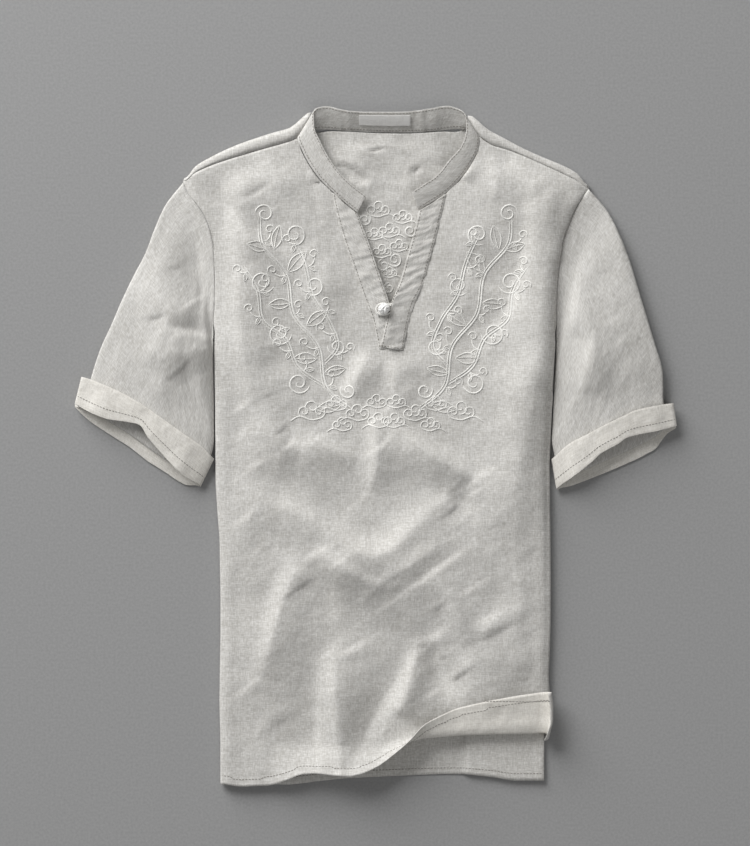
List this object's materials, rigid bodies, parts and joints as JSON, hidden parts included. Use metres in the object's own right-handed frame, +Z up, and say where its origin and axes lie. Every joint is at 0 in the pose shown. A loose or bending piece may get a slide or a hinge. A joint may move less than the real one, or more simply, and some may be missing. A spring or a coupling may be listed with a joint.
{
  "type": "linen shirt",
  "caption": "Short-sleeved linen pullover shirt with a band collar, open front placket with cord knot and loop, and turned-up cuffs, laid flat with one hem corner turned up.",
  "frame": {"origin": "middle of the shirt's box in plan, on the surface that the shirt lies on", "axes": "+Z up, away from the surface, out of the shirt's front; +Y toward the neck; +X toward the viewer's right"},
  "size_m": [0.6394, 0.7139, 0.0283],
  "materials": {
    "linen": "matte plain-weave linen",
    "linen_turned": "matte plain-weave linen, inside of the cloth",
    "cord": "soft round cord with a low sheen",
    "tape": "smooth woven tape, bare"
  },
  "bodies": {
    "root": {"front": "linen", "back": "linen", "sleeve_left": "linen", "sleeve_right": "linen", "cuff_left": "linen_turned", "cuff_right": "linen_turned", "collar": "linen", "placket_left": "linen", "placket_right": "linen", "knot_button": "cord", "button_loop": "cord", "label": "tape"}
  },
  "joints": []
}
